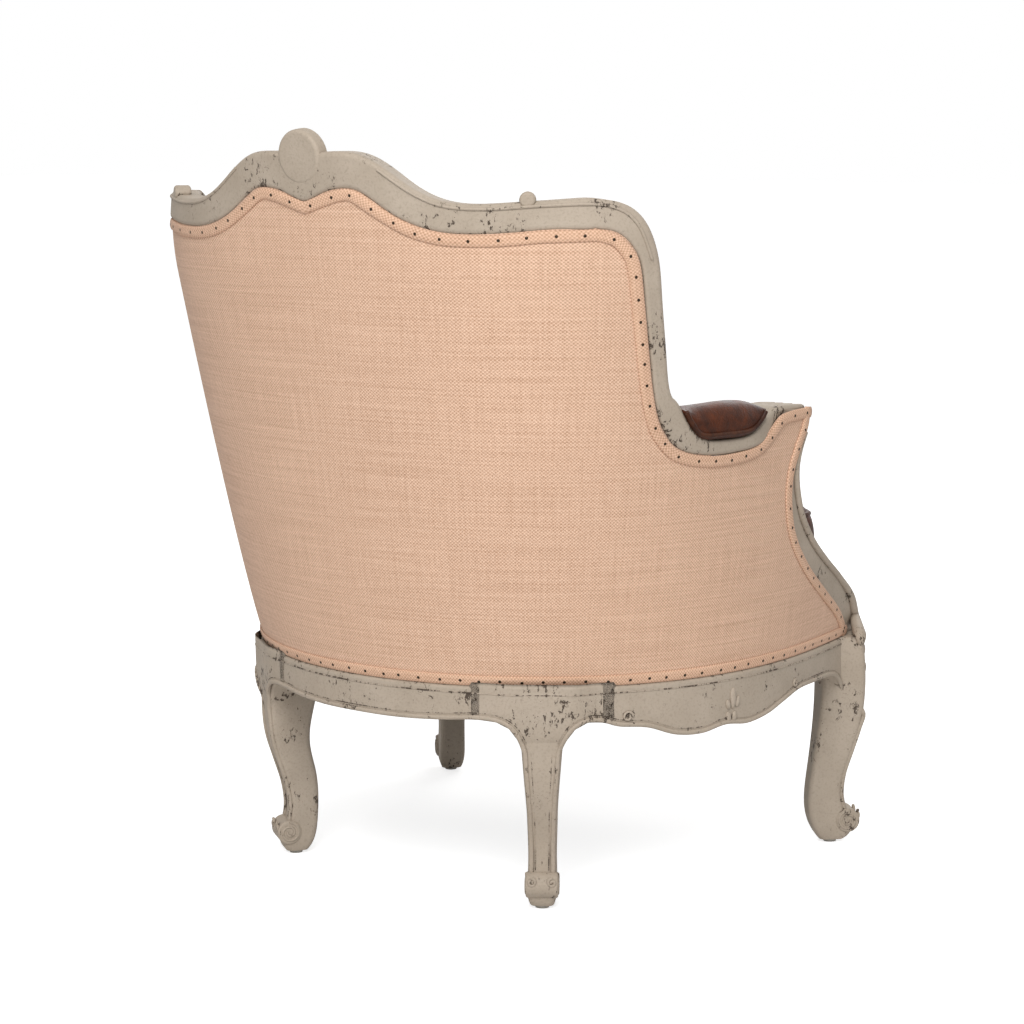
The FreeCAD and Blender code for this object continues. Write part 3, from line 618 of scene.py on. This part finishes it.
# Carving, as (place, height, width, tallness, tilt): the flower on each side rail and the front knee's leaf
flower = {
    "at": 520, "relief": 3.2,
    "petals": [(2, 264, 5.6, 15, 0), (-7, 257, 4, 7, 14), (10, 259, 4, 8, -16), (-6, 240, 4.6, 8, 12),
               (4, 240, 4.8, 7.5, -10)],
}
leaf = {
    "relief": 4.5, "sink": 0.5,
    "lobes": [(0, 286, 9, 12, 0), (-0.55, 276, 7, 12, 25), (0.55, 276, 7, 12, -25), (0, 262, 8, 12, 0),
              (-0.4, 250, 6, 11, 20), (0.4, 250, 6, 11, -20), (0, 236, 6, 12, 0), (0, 214, 4, 14, 0)],
}
railScroll = {"places": [(363, 257, 7), (660, 262, 6)], "proud": 0.3, "turns": 1.4, "bead": 2.0}


def makeCarving():
    shape = bmesh.new()
    face = -tub["railProud"]
    up = Vector((0, 0, 1))
    for side in (-1, 1):
        for ds, z, width, height, tilt in flower["petals"]:
            s = side * (flower["at"] + ds)
            across = (wall(s + side, z) - wall(s - side, z)).normalized() * side
            addLobe(shape, wall(s, z, face), across, up, (width, height, flower["relief"]), tilt * side)
        for s, z, radius in railScroll["places"]:
            centre = wall(side * s, z, face - railScroll["proud"])
            along = (wall(side * s + 1, z) - wall(side * s - 1, z)).normalized() * side
            addBead(shape, spiral(centre, along, up, radius, railScroll["turns"]), railScroll["bead"])
    for leg in legs.values():
        base, out, side = legAxes(leg)
        centre = (base + out * leg["scrollReach"] + Vector((0, 0, scroll["height"]))) / 1000
        front = centre + (out * toeScroll["out"] + up * toeScroll["up"]) / 1000
        for way in (-1, 1):
            flank = centre + side * way * scroll["halfWidth"] / 1000
            toe = front + side * way * toeScroll["aside"] / 1000
            for start, first, settings in ((flank, out, scroll), (toe, side * way, toeScroll)):
                line = spiral(start, first, up, settings["radius"], settings["turns"], math.pi / 2)
                addBead(shape, line, settings["bead"])
                addBead(shape, flip(line), settings["bead"])
    side = legAxes(legs["front"])[2]
    for across, z, width, height, tilt in leaf["lobes"]:
        place = legSpot(legs["front"], z, across, -leaf["sink"])
        size = (width, height, leaf["relief"])
        addLobe(shape, place, side, up, size, tilt)
        addLobe(shape, flip([place])[0], Vector((side.x, -side.y, 0)), up, size, -tilt)
    addPiece("carvedOrnament", shape, mouldedPaint)


# Edge mouldings of the crest, the arm hands and the arm supports
crestEdge = [(92, 949), (128, 921), (160, 906), (200, 903), (250, 907), (298, 909), (320, 904),
             (334, 894), (345, 876), (356, 842)]
supportEdge = [(644, 604), (634, 582), (630, 556), (637, 525), (655, 490), (690, 453), (740, 419),
               (798, 386), (850, 352), (878, 318)]
handTop = [(556, 633), (575, 640), (600, 641), (640, 638)]
crestBead = {"proud": 2.6, "radius": 2.2, "step": 6}
supportBead = {"top": 5.0, "foot": 10.0, "depth": 3.0, "legHeights": (300, 286, 272), "legSink": 4, "step": 6,
               "swellFrom": -1.6, "tailShare": 6, "tailEnd": 0.35}
hand = {"depths": (9, 23, 37, 50), "radius": 6.0, "sink": 3.0, "step": 6}
roll = {"radius": 12.0, "at": (637, 623), "from": 3, "to": 53, "spots": 8}


def makeEdgeMouldings():
    shape = bmesh.new()
    crest = [wall(s, z, -crestBead["proud"]) for s, z in smooth(crestEdge, crestBead["step"])]
    support = [wall(s, z, supportBead["depth"]) for s, z in smooth(supportEdge, supportBead["step"])]
    support += [legSpot(legs["front"], z, -1, -supportBead["legSink"]) for z in supportBead["legHeights"]]
    support = smoothed(support)
    swelling = np.clip(np.linspace(supportBead["swellFrom"], 1, len(support)), 0, 1)
    tail = np.linspace(len(support) / supportBead["tailShare"], 0, len(support))
    tailOff = np.clip(tail, supportBead["tailEnd"], 1)
    supportRadii = (supportBead["top"] + (supportBead["foot"] - supportBead["top"]) * swelling) * tailOff
    handRoll = [wall(*roll["at"], depth) for depth in np.linspace(roll["from"], roll["to"], roll["spots"])]
    lines = [(crest, crestBead["radius"]), (support, supportRadii), (handRoll, roll["radius"])]
    path = smooth(handTop, hand["step"])
    for depth in hand["depths"]:
        lines.append(([wall(s, z - hand["sink"], depth) for s, z in path], hand["radius"]))
    for points, radius in lines:
        addBead(shape, points, radius)
        addBead(shape, flip(points), radius)
    addPiece("edgeMouldings", shape, mouldedPaint)


makeKnees()
makeMouldings()
makeGrooves()
makeCarving()
makeEdgeMouldings()
print("stage: carving")

# Leather lining behind the inside pad: it closes the corners and ends in a welt on the show wood
lining = {"reach": 430, "bottom": 304, "depth": 42.0, "overlap": 19, "thickness": 0.9, "welt": 3.6,
          "columns": 260, "rows": 60,
          "backEnd": 372, "armGap": 4, "step": 3, "weltProud": 1, "cut": (0.9, 0.66)}


def makeLining():
    edge = smooth(coverEdge, lining["step"])
    outer = beside(edge, -lining["overlap"])
    outer = outer[edge[:, 0] < lining["backEnd"]]
    outer[:, 0] = np.maximum.accumulate(outer[:, 0])
    armPart = edge[edge[:, 0] > outer[-1, 0] + lining["armGap"]]
    topEdge = np.vstack([outer, armPart])
    shape = bmesh.new()
    bmesh.ops.create_grid(shape, x_segments=lining["columns"], y_segments=lining["rows"], size=1)
    for vertex in shape.verts:
        s = abs(vertex.co.x) * lining["reach"]
        high = np.interp(s, topEdge[:, 0], topEdge[:, 1])
        z = lining["bottom"] + (vertex.co.y + 1) / 2 * (high - lining["bottom"])
        vertex.co = wall(math.copysign(s, vertex.co.x), z, lining["depth"])
    bmesh.ops.recalc_face_normals(shape, faces=shape.faces)
    if min(shape.verts, key=lambda v: abs(v.co.x)).normal.y > 0:
        bmesh.ops.reverse_faces(shape, faces=shape.faces)
    area = sum(face.calc_area() for face in shape.faces)
    piece = addPiece("insideLining", shape, leather)
    thicken(piece, "thickness", lining["thickness"])
    welts = bmesh.new()
    line = np.vstack([(outer * mirrorPath)[:0:-1], outer])
    addBead(welts, [wall(s, z, lining["depth"] + lining["weltProud"]) for s, z in line], lining["welt"])
    addPiece("insideWelt", welts, weltLeather)


# Leather border from the deck down to the front rail, over the webbing's ends
border = {"reach": 292, "edge": 6, "run": 26, "low": 300.5, "rise": 24, "thickness": 1.5,
          "columns": 90, "rows": 10, "welt": 3.2, "weltRise": 1, "weltSpots": 80, "cut": (0.6, 0.04)}
frontRail = {
    "middle": -300, "bow": 26, "span": 640, "step": 5, "beadRise": 3, "beadSunk": 0.3, "relief": 3.6,
    "lower": [(0, 228), (60, 236), (120, 250), (180, 242), (230, 244), (280, 254), (318, 259)],
    "petals": [(0, 276, 6, 13, 0), (-10, 271, 5, 11, 30), (10, 271, 5, 11, -30), (0, 256, 6, 6, 0),
               (-8, 246, 5, 8, -30), (8, 246, 5, 8, 30)],
}


def frontAtX(x):
    return frontRail["middle"] - frontRail["bow"] * math.cos(math.pi * x / frontRail["span"]) - shift


def makeBorder():
    shape = bmesh.new()
    bmesh.ops.create_grid(shape, x_segments=border["columns"], y_segments=border["rows"], size=1)
    for vertex in shape.verts:
        x = vertex.co.x * border["reach"]
        t = (vertex.co.y + 1) / 2
        y = frontAtX(x) + border["edge"] + border["run"] * t
        z = border["low"] + border["rise"] * math.sin(t * math.pi / 2)
        vertex.co = Vector((x, y, z)) / 1000
    area = sum(face.calc_area() for face in shape.faces)
    piece = addPiece("deckBorder", shape, leather)
    thicken(piece, "thickness", border["thickness"])
    welts = bmesh.new()
    weltHeight = border["low"] + border["weltRise"]
    spots = np.linspace(-border["reach"], border["reach"], border["weltSpots"])
    line = [Vector((x, frontAtX(x) + border["edge"], weltHeight)) / 1000 for x in spots]
    addBead(welts, line, border["welt"])
    addPiece("deckWelt", welts, weltLeather)


def makeFrontCarving():
    shape = bmesh.new()
    path = smooth(frontRail["lower"], frontRail["step"])
    half = [Vector((x, frontAtX(x) + frontRail["beadSunk"], z + frontRail["beadRise"])) / 1000 for x, z in path]
    addBead(shape, flip(half[:0:-1]) + half, ridge["radius"])
    across = Vector((1, 0, 0))
    up = Vector((0, 0, 1))
    for x, z, width, height, tilt in frontRail["petals"]:
        place = Vector((x, frontAtX(x), z)) / 1000
        addLobe(shape, place, across, up, (width, height, frontRail["relief"]), tilt)
    addPiece("frontRailCarving", shape, mouldedPaint)


makeLining()
makeBorder()
makeFrontCarving()
print("stage: lining, border and front carving")

# Leather: each soft solid is copied, remeshed, blown up a little as cloth and creased
soft = {
    "leatherBack": {"node": "inside_back_pad", "voxel": 0.011, "shrink": 0.003, "cap": 0.006, "fill": 0.7,
                    "crease": 0.0010},
    "leatherArmLeft": {"node": "inside_arm_lining_left", "voxel": 0.008, "shrink": 0.002,
                       "cap": 0.003, "fill": 0.6, "crease": 0.0006},
    "leatherArmRight": {"node": "inside_arm_lining_right", "voxel": 0.008, "shrink": 0.002,
                        "cap": 0.003, "fill": 0.6, "crease": 0.0006},
    "leatherDeck": {"node": "seat_deck", "voxel": 0.011, "shrink": 0.003, "cap": 0.003, "fill": 0.8,
                    "crease": 0.0006},
    "leatherCushion": {"node": "seat_cushion_core", "voxel": 0.008, "shrink": -0.002, "cap": 0.008, "fill": 0.8,
                       "crease": 0.0012, "nose": 0.008},
}
swell = {"pressure": 4, "stiffness": 12, "bending": 0.6, "frames": 16, "quality": 4}
ripples = {"broad": 22, "fine": 55, "fineShare": 0.5}
noseFrom = 0.7  # the share of a cushion, from its rear, where its front edge begins to swell


def inflate(piece, cap):
    cloth = piece.modifiers.new("swell", "CLOTH")
    cloth.settings.use_pressure = True
    cloth.settings.uniform_pressure_force = swell["pressure"]
    cloth.settings.tension_stiffness = swell["stiffness"]
    cloth.settings.compression_stiffness = swell["stiffness"]
    cloth.settings.bending_stiffness = swell["bending"]
    cloth.settings.effector_weights.gravity = 0
    cloth.settings.quality = swell["quality"]
    cloth.point_cache.frame_start = 1
    cloth.point_cache.frame_end = swell["frames"]
    for step in range(1, swell["frames"] + 1):
        scene.frame_set(step)
    swollen = piece.evaluated_get(bpy.context.evaluated_depsgraph_get())
    moved = np.zeros(len(piece.data.vertices) * 3)
    rest = np.zeros_like(moved)
    swollen.data.vertices.foreach_get("co", moved)
    piece.data.vertices.foreach_get("co", rest)
    piece.modifiers.remove(cloth)
    scene.frame_set(1)
    drift = (moved - rest).reshape(-1, 3)
    size = np.linalg.norm(drift, axis=1)
    drift *= np.minimum(1, cap / np.maximum(size, 1e-9))[:, None]
    piece.data.vertices.foreach_set("co", rest + drift.ravel())
    piece.data.update()


def finishSoft(piece, settings):
    inflate(piece, settings["cap"])
    for vertex in piece.data.vertices:
        ripple = noise.noise(vertex.co * ripples["broad"])
        ripple += ripples["fineShare"] * noise.noise(vertex.co * ripples["fine"])
        vertex.co += vertex.normal * (ripple * settings["crease"])
    finer = piece.modifiers.new("finer", "SUBSURF")
    finer.levels = 1
    finer.render_levels = 1
    print("stage:", piece.name)


def makeSoft(name, settings):
    source = nodes[settings["node"]]
    copied = bpy.data.objects.new(name, source.data.copy())
    scene.collection.objects.link(copied)
    shape = bmesh.new()
    shape.from_mesh(copied.data)
    bmesh.ops.remove_doubles(shape, verts=shape.verts, dist=0.00001)
    shape.to_mesh(copied.data)
    shape.free()
    even = copied.modifiers.new("even", "REMESH")
    even.mode = "VOXEL"
    even.voxel_size = settings["voxel"]
    mesh = bpy.data.meshes.new_from_object(copied.evaluated_get(bpy.context.evaluated_depsgraph_get()))
    bpy.data.objects.remove(copied)
    shape = bmesh.new()
    shape.from_mesh(mesh)
    bmesh.ops.smooth_vert(shape, verts=shape.verts, factor=0.5, use_axis_x=True, use_axis_y=True,
                          use_axis_z=True)
    shape.normal_update()
    rear = max(vertex.co.y for vertex in shape.verts)
    front = min(vertex.co.y for vertex in shape.verts)
    for vertex in shape.verts:
        towardsFront = max((rear - vertex.co.y) / (rear - front) - noseFrom, 0) / (1 - noseFrom)
        vertex.co += vertex.normal * (settings.get("nose", 0) * towardsFront - settings["shrink"])
    body = "seat_cushion" if "Cushion" in name else "frame"
    piece = addPiece(name, shape, leather, body)
    finishSoft(piece, settings)
    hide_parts(settings["node"])
    return piece


made = {name: makeSoft(name, settings) for name, settings in soft.items()}
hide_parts("seat_cushion_cover", "seat_cushion_core")

# Arm pads: a stuffed roll that fills the dip of each arm, with a welt along its lower edge
armPad = {
    "upper": [(405, 655), (418, 656), (440, 657), (477, 658), (510, 656), (532, 651), (545, 645)],
    "lower": [(405, 652), (419, 629), (435, 614), (473, 612), (515, 613), (535, 626), (545, 642)],
    "middle": 475, "halfLength": 69.5, "face": -4.0, "back": 46.0, "cuts": 15, "endRound": 0.25,
    "welt": 3.2, "weltRise": 6.0, "weltProud": 1.0, "weltStep": 4,
    "cap": 0.003, "fill": 0.85, "crease": 0.0007,
}


def makeArmPads():
    upper = smooth(armPad["upper"], 2)
    lower = smooth(armPad["lower"], 2)
    for side, word in ((1, "Left"), (-1, "Right")):
        shape = bmesh.new()
        bmesh.ops.create_cube(shape, size=2)
        bmesh.ops.subdivide_edges(shape, edges=shape.edges, cuts=armPad["cuts"], use_grid_fill=True)
        for vertex in shape.verts:
            a, b, c = vertex.co
            rounded = max(c, 0) ** 2 / 2
            along = a * math.sqrt(1 - rounded * armPad["endRound"])
            crown = c * math.sqrt(1 - b * b / 2) if c > 0 else c  # round above, flat below
            ball = Vector((along, b * math.sqrt(1 - rounded), crown))
            s = armPad["middle"] + armPad["halfLength"] * ball.x
            low = np.interp(s, lower[:, 0], lower[:, 1])
            high = np.interp(s, upper[:, 0], upper[:, 1])
            depth = (armPad["face"] + armPad["back"]) / 2 - ball.y * (armPad["back"] - armPad["face"]) / 2
            vertex.co = wall(side * s, low + (high - low) * (1 + ball.z) / 2, depth)
        bmesh.ops.recalc_face_normals(shape, faces=shape.faces)
        piece = addPiece("armPad" + word, shape, leather)
        finishSoft(piece, armPad)
        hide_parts("arm_pad_" + word.lower())
        welts = bmesh.new()
        outline = [(s, z + armPad["weltRise"]) for s, z in smooth(armPad["lower"], armPad["weltStep"])[2:-2]]
        for depth in (armPad["face"] - armPad["weltProud"], armPad["back"] + armPad["weltProud"]):
            addBead(welts, [wall(side * s, z, depth) for s, z in outline], armPad["welt"])
        addPiece("armPadWelt" + word, welts, weltLeather)


makeArmPads()

# Piping round the seat cushion, laid on the finished leather
piping = {"heights": (0.386, 0.459), "radius": 4.2, "spots": 140, "sunk": 0.001}


def makePiping():
    cushion = made["leatherCushion"]
    skin = BVHTree.FromObject(cushion, bpy.context.evaluated_depsgraph_get())
    low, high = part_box("seat_cushion_core")
    shape = bmesh.new()
    for height in piping["heights"]:
        centre = Vector(((low[0] + high[0]) / 2, (low[1] + high[1]) / 2, height))
        loop = []
        for k in range(piping["spots"]):
            angle = 2 * math.pi * k / piping["spots"]
            heading = Vector((math.cos(angle), math.sin(angle), 0))
            hit = skin.ray_cast(centre + heading, -heading)[0]
            loop.append(hit - heading * piping["sunk"])
        addBead(shape, loop, piping["radius"], True)
    piece = addPiece("cushionPiping", shape, weltLeather, "seat_cushion")
    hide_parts("seat_cushion_piping")


makePiping()
print("stage: piping")

# Floor, light and backdrop
studio = {"floor": "f2f2f2", "seenFloor": "e7e7e7", "floorGlow": 0.74, "ambient": 0.34, "floorReach": 40,
          "aim": (0, 0, 0.5)}
shape = bmesh.new()
bmesh.ops.create_grid(shape, x_segments=1, y_segments=1, size=studio["floorReach"])
floorMesh = bpy.data.meshes.new("floor")
shape.to_mesh(floorMesh)
shape.free()
floor = bpy.data.objects.new("floor", floorMesh)
scene.collection.objects.link(floor)
floorTone = colour(studio["floor"])
seenTone = colour(studio["seenFloor"])
floorMaterial, floorTree, floorShader = newMaterial("paleFloor", Base_Color=floorTone, Roughness=0.9)
floorShader["Emission Color"].default_value = (1, 1, 1, 1)
seen = addNode(floorTree, "LightPath", {}, "Is Camera Ray")
glow = addNode(floorTree, "Math", {0: seen, 1: studio["floorGlow"]}, operation="MULTIPLY")
floorTree.links.new(glow, floorShader["Emission Strength"])
tone = addNode(floorTree, "Mix", {0: seen, 6: floorTone, 7: seenTone}, 2, data_type="RGBA")
floorTree.links.new(tone, floorShader["Base Color"])  # the glow makes up for it, so the shadows stay faint
floorMesh.materials.append(floorMaterial)

world = bpy.data.worlds.new("studio")
world.use_nodes = True
scene.world = world
worldTree = world.node_tree
background = worldTree.nodes["Background"].inputs
seen = addNode(worldTree, "LightPath", {}, "Is Camera Ray")
mirrored = seen.node.outputs["Is Glossy Ray"]
either = addNode(worldTree, "Math", {0: seen, 1: mirrored}, operation="MAXIMUM")
level = addNode(worldTree, "MapRange", {"Value": either, "To Min": studio["ambient"], "To Max": 1.0})
worldTree.links.new(level, background["Strength"])
background["Color"].default_value = (1, 1, 1, 1)

lamps = {
    "keySoftbox": {"place": (-1.7, 2.6, 3.0), "size": 1.8, "power": 116},
    "frontSoftbox": {"place": (0.9, -3.4, 2.8), "size": 2.4, "power": 40},
}
for name, lamp in lamps.items():
    light = bpy.data.lights.new(name, "AREA")
    light.size = lamp["size"]
    light.energy = lamp["power"]
    holder = bpy.data.objects.new(name, light)
    holder.location = lamp["place"]
    aim = Vector(studio["aim"]) - Vector(lamp["place"])
    holder.rotation_euler = aim.to_track_quat("-Z", "Y").to_euler()
    scene.collection.objects.link(holder)

scene.view_settings.view_transform = "Standard"
